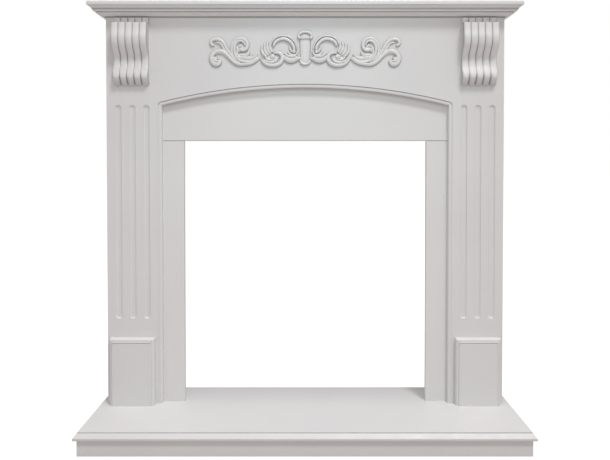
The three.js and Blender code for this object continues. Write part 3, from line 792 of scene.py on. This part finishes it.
# %% [markdown]
# ## Plinth blocks
#
# Each leg stands on a block that is moulded on its two sides and its top: a round, a small step, a bead
# and a fine groove. The section runs up one side, over the top and down the other, as on a picture frame.
# Paint has filled most of the grooves down the sides, so they are shallower there, and only the top keeps
# them sharp.

# %% Two plinth blocks
PLINTH_HALF_WIDTH = 56
PLINTH_TOP_Z = 222.5
PLINTH_THICKNESS = 22
CORNER_FADE = 16
FILLED_SHARE = 0.7
FIRST_FLAT = 3
SIDE_SHARES = (0, 0, 1, 1, 0, 0)

plinth_edge = [(0, 0, 0.5), (0, 2, 0), *clean(quarter_round((0, 12.3), (5.5, 18.6), False))]
plinth_edge += [(6.3, 18.2, 0.6), (6.3, 19.4, 0.5), *clean(quarter_round((6.4, 19.6), (9.4, 22), False))]
plinth_edge += [(10, 20.8, 0.8), (10.7, 20.8, 0.8), (11.2, PLINTH_THICKNESS, 0)]


def plinth_block(centre):
    """Six stations: the foot, the fade and the corner of one side, and the same of the other side."""
    rings = []
    for side in (-1, 1):
        edge = centre + side * PLINTH_HALF_WIDTH
        corner, filled = [], []
        for inset, lift, hollow in plinth_edge:
            corner.append((edge - side * inset, FACE_Y - lift, PLINTH_TOP_Z - inset))
            filled.append(lift + FILLED_SHARE * hollow * (PLINTH_THICKNESS - lift))
        filled[:2] = [0, FIRST_FLAT]
        below = [(x, FACE_Y - lift, PLINTH_TOP_Z - CORNER_FADE) for (x, _, _), lift in zip(corner, filled)]
        foot = [(x, y, HEARTH_TOP_Z) for x, y, _ in below]
        rings += [foot, below, corner] if side < 0 else [corner, below, foot]
    size = len(plinth_edge)
    faces = []
    for r in range(len(rings) - 1):
        for i in range(size - 1):
            a = r * size + i
            faces.append((a, a + 1, a + 1 + size, a + size))
    faces.append(tuple(r * size + size - 1 for r in range(len(rings))))
    faces.append(tuple(r * size for r in range(len(rings)))[::-1])
    last = (len(rings) - 1) * size
    faces.append(tuple(range(size)) + tuple(range(last + size - 1, last - 1, -1)))
    return [p for ring in rings for p in ring], faces


# the hollow mask paints shade into the grooves of the top only
plinth_mask = [share * hollow for share in SIDE_SHARES for _, _, hollow in plinth_edge]
for side, name in ((-1, "left"), (1, "right")):
    node = name + "_plinth_block"
    shell = plinth_block(side * LEG_CENTRE)
    soften_edges(make_piece(node + "_fine", [shell], "board_paint", [node], hollow=plinth_mask), 0.2)

# %% [markdown]
# ## Corbels
#
# A corbel is an S-shaped bracket cut into five reeds. Seen from the side it has a thin neck under the
# cornice, a belly below it, a waist, and a small round toe. The curve is given by points: how far the
# face stands out, and at which share of the height. Across its width each reed is a round, and the line
# between two reeds is a fine deep groove, into which the hollow mask paints shade. The reeds end in small
# domes at the foot, and shade is painted on their underside too.

# %% Two corbels
REED_COUNT = 5
REED_WIDTH = 17.4
REED_HEIGHT = 3.6
REED_STEPS = 12
CORBEL_HEIGHT = 169.5
CORBEL_ROWS = 90
SCALLOP = 7
FOOT_GAP = 1.5
# the head follows the sloping soffit of the cornice
HEAD_GAP = 0.3
HEAD_SLOPE = 0.26
HEAD_START = 1.8
# the reeds rise to their full height over the first shares of the corbel
DOME_START = 0.3
DOME_SHARE = 0.06
GROOVE_SHARPNESS = 1.6
UNDERSIDE_PAINTED_SHADE = 0.5
UNDERSIDE_SHARE = 0.12
CARVED_SHARP_ANGLE = 50

belly_line = [
    (1.6, 0), (4.6, 0.018), (8.8, 0.04), (13.2, 0.065), (16.8, 0.09), (18.8, 0.112), (19.2, 0.135),
    (18.4, 0.165), (16.2, 0.195), (13.4, 0.225), (10.8, 0.258), (8.6, 0.295), (7.2, 0.335), (6.8, 0.37),
    (7.2, 0.4), (8.6, 0.425), (11.2, 0.446), (14.8, 0.466), (18.8, 0.485), (22.6, 0.504), (26.2, 0.525),
    (29.4, 0.548), (31.8, 0.573), (33.4, 0.602), (34.3, 0.636), (34.4, 0.67), (33.8, 0.697), (32.6, 0.73),
    (31.5, 0.765), (30.8, 0.8), (30.4, 0.835), (30, 0.866),
]
neck_line = [(28.4, 0.872), (8, 0.905), (3.4, 0.92), (3, 1)]


def reed_swell(t):
    """The round of a reed: 0 in the grooves and 1 in its middle."""
    return max(0.0, 1 - abs(2 * t - 1) ** 2.3) ** 0.55


def corbel(centre):
    bottom = CORNICE_BOTTOM_Z - CORBEL_HEIGHT
    start = centre - REED_COUNT * REED_WIDTH / 2
    columns = []
    for reed in range(REED_COUNT):
        for k in range(1 if reed else 0, REED_STEPS + 1):
            t = k / REED_STEPS
            columns.append((start + REED_WIDTH * (reed + t), reed_swell(t)))
    rings, mask = [], []
    rows = [tuple(row) for row in smooth_curve(belly_line, CORBEL_ROWS)]
    for reach, share in rows + neck_line:
        ring = []
        for x, swell in columns:
            lift = reach + REED_HEIGHT * swell * min(1, DOME_START + share / DOME_SHARE)
            foot = bottom + FOOT_GAP + SCALLOP * (1 - swell)
            head = CORNICE_BOTTOM_Z - HEAD_GAP + HEAD_SLOPE * (lift - HEAD_START)
            ring.append((x, FACE_Y - lift, foot + (head - foot) * share))
            # painted shade on the downward-facing toe, added to the painted shade in the grooves
            underside = UNDERSIDE_PAINTED_SHADE * clamp(1 - share / UNDERSIDE_SHARE)
            mask.append(clamp(clamp(1 - GROOVE_SHARPNESS * swell) + underside))
        for x in (columns[-1][0], columns[0][0]):
            foot = bottom + SCALLOP
            head = CORNICE_BOTTOM_Z - HEAD_GAP - HEAD_SLOPE * HEAD_START
            ring.append((x, FACE_Y, foot + (head - foot) * share))
            mask.append(0.0)
        rings.append(ring)
    return skin(rings), mask


for side, name in ((-1, "left"), (1, "right")):
    shell, mask = corbel(side * LEG_CENTRE)
    node = name + "_corbel"
    make_piece(node + "_fine", [shell], "moulding_paint", [node], CARVED_SHARP_ANGLE, mask)

# %% [markdown]
# ## Scroll ornament
#
# The carved piece in the middle is a pair of leaf scrolls. A carver thinks in strokes: each stalk, leaf
# lobe or rib is one stroke with a ridge, and where two strokes meet there is a crease. So each stroke
# here is a path, its width at the start, middle and end, its relief, and how far its ridge leans to one
# side at the start and at the end. Numbers are hundredths of the ornament's length, first outwards from
# the middle and then up. Every stroke is made twice, once for each side.

# %% The strokes of one half
ORNAMENT_LENGTH = 476
ORNAMENT_BASE_Z = 897
ORNAMENT_RELIEF = 7.8

LEVEL = (0, 0)
SCROLL_STROKES = [
    # the broad low grounds that carry the finer ridges
    ([(35.8, 5.8), (33.4, 4.6), (30, 3.9), (27, 4.2), (24.6, 5.2)], (4.4, 5.2, 1.8), 0.62, LEVEL),
    ([(34, 1.9), (36.4, 4.4), (38.2, 6.8), (39.8, 9)], (2.6, 4.6, 2.6), 0.42, LEVEL),
    ([(36.4, 4.6), (37, 8), (36.9, 11), (35.6, 13.2), (33.4, 14.1), (31.5, 13), (31.2, 11)],
     (2.4, 3, 1.8), 0.5, LEVEL),
    ([(35.8, 9.2), (33.8, 10.2), (32.2, 11.6)], (3.6, 5, 3.6), 0.4, LEVEL),
    ([(48.1, 6.4), (48, 4), (46.6, 2.4), (45, 2.3)], (2.2, 3, 2.2), 0.5, LEVEL),
    ([(20.8, 3.9), (17.6, 3.6), (14.2, 4.6)], (4.4, 6, 4.6), 0.42, LEVEL),
    ([(19, 5.6), (19.7, 8.2), (19.8, 10.6)], (4, 5.6, 4.4), 0.34, LEVEL),
    ([(11.8, 5.2), (8, 4.8), (4, 5.4)], (2.6, 3.6, 2.2), 0.4, LEVEL),
    # the upper tendril of the outer end, in two ridges
    ([(47.2, 11.4), (48.5, 11.7), (49.1, 12.8), (48.5, 14), (46.9, 14.6), (45, 14.4), (43.4, 13.5),
      (42.2, 12.1), (41.3, 10.4), (40.3, 8.6), (38.8, 6.5), (37, 4.4), (34.8, 2.1)], (2, 2, 1.2),
     0.85, LEVEL),
    ([(46.8, 12.8), (45.2, 12.8), (43.9, 12), (43, 10.7), (42.2, 9.3), (40.9, 7.6), (39.2, 5.6),
      (36.9, 3.3), (34.6, 1.6)], (1.2, 1.5, 1.1), 0.6, LEVEL),
    # the stalk that runs along the bottom and rolls up at the outer end
    ([(23.4, 4.9), (25.4, 3.2), (28.2, 1.9), (31.2, 1.4), (34, 1.3), (36.4, 2.2), (38.4, 3.9),
      (40.2, 5.8), (41.8, 7.4), (43.5, 8.4), (45.3, 8.5), (47, 7.9), (48.3, 6.6), (49, 4.8),
      (48.6, 2.9), (47.3, 1.5), (45.6, 1.4), (44.5, 2.4), (44.3, 3.6)], (1.4, 2.5, 2.6),
     0.85, (0.6, -0.6)),
    ([(46.8, 7), (45.2, 7.5), (43.4, 7.4), (41.8, 6.4), (40, 4.8)], (0.9, 1.3, 0.9), 0.6, LEVEL),
    ([(48.4, 5.2), (47.8, 4), (46.9, 3.3), (45.9, 3.1), (44.9, 3.5)], (1, 1.3, 1), 0.95, LEVEL),
    # the tall curl: its outer rim, its inner ridge and the hook at its eye
    ([(34.4, 1.8), (36.6, 4.4), (38, 7), (38.3, 9.6), (37.7, 12.2), (36.2, 14.2), (34, 15.1),
      (31.9, 14.6), (30.4, 12.9), (30.2, 10.8), (31.2, 9.2), (33, 9), (34.2, 10.2)], (1.3, 1.8, 2.4),
     0.85, LEVEL),
    ([(34.2, 3), (35.9, 5.2), (36.7, 7.6), (36.9, 10), (36.3, 12.2), (34.8, 13.6), (33, 13.6),
      (31.9, 12.5), (31.6, 11)], (1.4, 1.9, 1), 1, LEVEL),
    ([(34, 4), (35.2, 6), (35.5, 8), (35.4, 10)], (1, 1.4, 0.9), 0.75, LEVEL),
    # three lobes of the leaf that sweeps inwards
    ([(34.4, 6.4), (32.8, 6.1), (31, 6), (29.8, 6.8), (29.2, 8.2)], (1.8, 2.6, 1), 0.8, (-0.4, -0.4)),
    ([(34, 5), (31.8, 4.6), (29.6, 4.3), (27.6, 4.6), (26, 5.5), (25, 7)], (1.6, 2.5, 0.9),
     0.9, (-0.4, -0.4)),
    ([(33.8, 3.4), (31.2, 2.8), (28.6, 2.8), (26.2, 3.6), (24.2, 5)], (1.3, 1.7, 1), 0.85, LEVEL),
    # the large open ring with its rim
    ([(17.6, 11.4), (17.2, 13.2), (15.7, 15), (13.5, 16.1), (11.2, 16.4), (8.9, 16), (6.9, 14.7),
      (5.4, 12.9), (4.5, 10.8), (4.3, 9)], (0.9, 1.2, 0.9), 0.65, LEVEL),
    ([(16.4, 10.6), (16.1, 12.2), (15, 13.6), (13.2, 14.5), (11.2, 14.8), (9.3, 14.3), (7.6, 13.1),
      (6.4, 11.4), (5.8, 9.8), (6, 8.4)], (1.7, 2, 1.6), 0.85, LEVEL),
    ([(8.4, 11.2), (8, 9.8), (7.3, 8.7), (6.8, 7.7)], (0.9, 1.3, 1), 0.55, LEVEL),
    ([(8.9, 8.2), (8.3, 7.1), (6.9, 6.3), (5.3, 6.3), (4.2, 7.3), (3.9, 8.9)], (1.1, 1.5, 1),
     0.75, LEVEL),
    # the leaves between the ring and the tongue
    ([(10.9, 7.2), (9.6, 6.2), (8, 5.6), (6.4, 5.5), (4.8, 6)], (1.3, 1.6, 1), 0.8, (-0.3, -0.3)),
    ([(12.4, 6.2), (11, 4.8), (9.5, 3.7), (7.8, 3.2), (6, 3.3), (4.4, 4), (2, 4.8)], (1.8, 2.9, 1.6),
     0.9, (-0.6, -0.6)),
    # the lower spiral
    ([(23.4, 4.6), (22, 2.7), (20.2, 1.4), (17.9, 0.9), (15.6, 1), (13.4, 2), (12.1, 3.7), (12, 5.6),
      (13, 7), (14.7, 7.5), (16.4, 7.1)], (1.5, 2.5, 1.7), 0.9, (-0.6, 0.2)),
    ([(22, 4.3), (20.6, 3.2), (18.8, 2.6), (17, 2.6), (15.4, 3.1), (14.4, 4.2), (14.2, 5.6)],
     (1.1, 1.5, 1), 0.85, LEVEL),
    ([(20.9, 5), (19.6, 4.2), (18.2, 3.8), (17, 4)], (1, 1.3, 1), 0.75, LEVEL),
    # four ribs of the fan beside the ring
    ([(19.8, 5.2), (21.7, 6.8), (22.6, 9), (22.3, 11.8)], (1.4, 1.9, 1), 0.85, LEVEL),
    ([(18.9, 6), (20.5, 7.8), (21.2, 10), (20.9, 12.6)], (1.4, 1.9, 1), 0.85, LEVEL),
    ([(17.9, 6.8), (19.3, 8.7), (19.8, 10.8), (19.5, 13.1)], (1.4, 1.9, 1), 0.85, LEVEL),
    ([(16.9, 7.6), (18, 9.4), (18.4, 11.2), (18.1, 13.2)], (1.4, 1.9, 1), 0.85, LEVEL),
]
# a boss is its middle, its radius and its relief
SCROLL_BOSSES = [((46.9, 4.2), 1.4, 0.95), ((34, 11), 0.95, 0.95)]
SCROLL_BOSSES += [((17, 5.5), 1.6, 1), ((5.9, 8), 1.1, 0.95)]
MIDDLE_STROKES = [
    # the arched cap, its bar and its two small balls
    ([(3.6, 14.9), (3.4, 16.6), (2.1, 17.9), (0, 18.4), (-2.1, 17.9), (-3.4, 16.6), (-3.6, 14.9)],
     (1.4, 1.5, 1.4), 0.8, LEVEL),
    ([(2.2, 15.1), (0, 15.4), (-2.2, 15.1)], (1.5, 1.6, 1.5), 0.75, LEVEL),
    # the flat tongue with a rolled tip and two faint ridges
    ([(0, 17.6), (0, 9.5), (0, 2)], (6.4, 5.8, 5), 0.24, LEVEL),
    ([(2.6, 4), (2, 2.4), (0, 1.7), (-2, 2.4), (-2.6, 4)], (1.1, 1.7, 1.1), 0.75, LEVEL),
    ([(1.2, 13.6), (1.1, 9), (0.8, 4)], (0.5, 0.7, 0.4), 0.3, LEVEL),
    ([(-1.2, 13.6), (-1.1, 9), (-0.8, 4)], (0.5, 0.7, 0.4), 0.3, LEVEL),
]
MIDDLE_BOSSES = [((3, 15.4), 1.1, 0.9), ((-3, 15.4), 1.1, 0.9)]
print(len(SCROLL_STROKES), "strokes and", len(SCROLL_BOSSES), "bosses on each side")

# %% [markdown]
# The cross-section of a stroke is widest a little above the board and draws in below, as on a carving
# that is glued on. That small undercut gives the thin dark line round each leaf. Its tips are rounded. A
# boss is a small dome. On both, the hollow mask is 1 at the foot and 0 near the crest, so shade is painted
# into the creases between strokes.

# %% Carve a stroke and a boss
STROKE_SIDES = 12
STROKE_SINK = 0.6
STROKE_FOOT = 0.9
WIDEST_SHARE = 0.18
BOSS_RINGS = 8
BOSS_POINTS = 20
GREY_SLOPE = 1.8
SCROLL_UNIT = ORNAMENT_LENGTH / 100


def stroke_shell(path, widths, relief, lean, side):
    """One stroke. Its lean says how far the crest lies to one side, at its start and at its end."""
    points = np.array(path, float) * SCROLL_UNIT
    steps = 7 * (len(path) - 1) + 9
    line = smooth_curve(points, steps)
    along = np.gradient(line, axis=0)
    along /= np.linalg.norm(along, axis=1)[:, None]
    rings, mask = [], []
    for i, ((across, up), (da, du)) in enumerate(zip(line, along)):
        t = i / (steps - 1)
        full = np.interp(t, (0, 0.5, 1), widths)
        tip = math.sqrt(max(0.0, 1 - max(0.0, abs(2 * t - 1) * 1.06 - 0.06) ** 9))
        half = SCROLL_UNIT * full / 2 * max(tip, NEARLY_NOTHING)
        lift = ORNAMENT_RELIEF * relief * (0.2 + 0.8 * tip)
        section = [(STROKE_FOOT, -STROKE_SINK)]
        crest = lean[0] + (lean[1] - lean[0]) * t
        for k in range(STROKE_SIDES + 1):
            out = math.cos(k / STROKE_SIDES * math.pi)
            rise = WIDEST_SHARE + (1 - WIDEST_SHARE) * math.sqrt(1 - out * out)
            section.append((out + crest * (1 - out * out), lift * rise))
        section.append((-STROKE_FOOT, -STROKE_SINK))
        ring = []
        for out, height in section:
            x = across - du * out * half
            z = up + da * out * half
            ring.append((side * x, FACE_Y - height, ORNAMENT_BASE_Z + z))
            # painted shade, darkest at the foot of the stroke
            mask.append(clamp(GREY_SLOPE * (0.8 - height / max(lift, 0.1))))
        rings.append(ring)
    return skin(rings), mask


def boss_shell(centre, radius, relief, side):
    rings, mask = [], []
    for k in range(BOSS_RINGS + 1):
        angle = k / BOSS_RINGS * math.pi / 2
        reach = max(radius * SCROLL_UNIT * math.cos(angle), NEARLY_NOTHING)
        height = ORNAMENT_RELIEF * relief * math.sin(angle) if k else -STROKE_SINK
        ring = []
        for i in range(BOSS_POINTS):
            turn = i / BOSS_POINTS * 2 * math.pi
            x = side * centre[0] * SCROLL_UNIT + reach * math.cos(turn)
            z = ORNAMENT_BASE_Z + centre[1] * SCROLL_UNIT + reach * math.sin(turn)
            ring.append((x, FACE_Y - height, z))
            # painted shade, darkest at the foot of the boss
            mask.append(clamp(GREY_SLOPE * (0.75 - math.sin(angle))))
        rings.append(ring)
    return skin(rings), mask


longest_stroke = max(SCROLL_STROKES, key=lambda stroke: len(stroke[0]))
print("the longest stroke has", len(stroke_shell(*longest_stroke, 1)[0][1]), "faces")

# %% [markdown]
# The strokes and bosses lie in each other as leaves do on a carving, and together they are one piece. The
# middle ones are made once, all others on both sides.

# %% The whole ornament
def scroll_ornament():
    shells, mask = [], []
    made = [stroke_shell(*stroke, 1) for stroke in MIDDLE_STROKES]
    made += [boss_shell(*boss, 1) for boss in MIDDLE_BOSSES]
    for side in (-1, 1):
        made += [stroke_shell(*stroke, side) for stroke in SCROLL_STROKES]
        made += [boss_shell(*boss, side) for boss in SCROLL_BOSSES]
    for shell, values in made:
        shells.append(shell)
        mask += values
    return shells, mask


shells, mask = scroll_ornament()
make_piece("scroll_ornament_fine", shells, "ornament_paint", ["scroll_ornament"], CARVED_SHARP_ANGLE, mask)
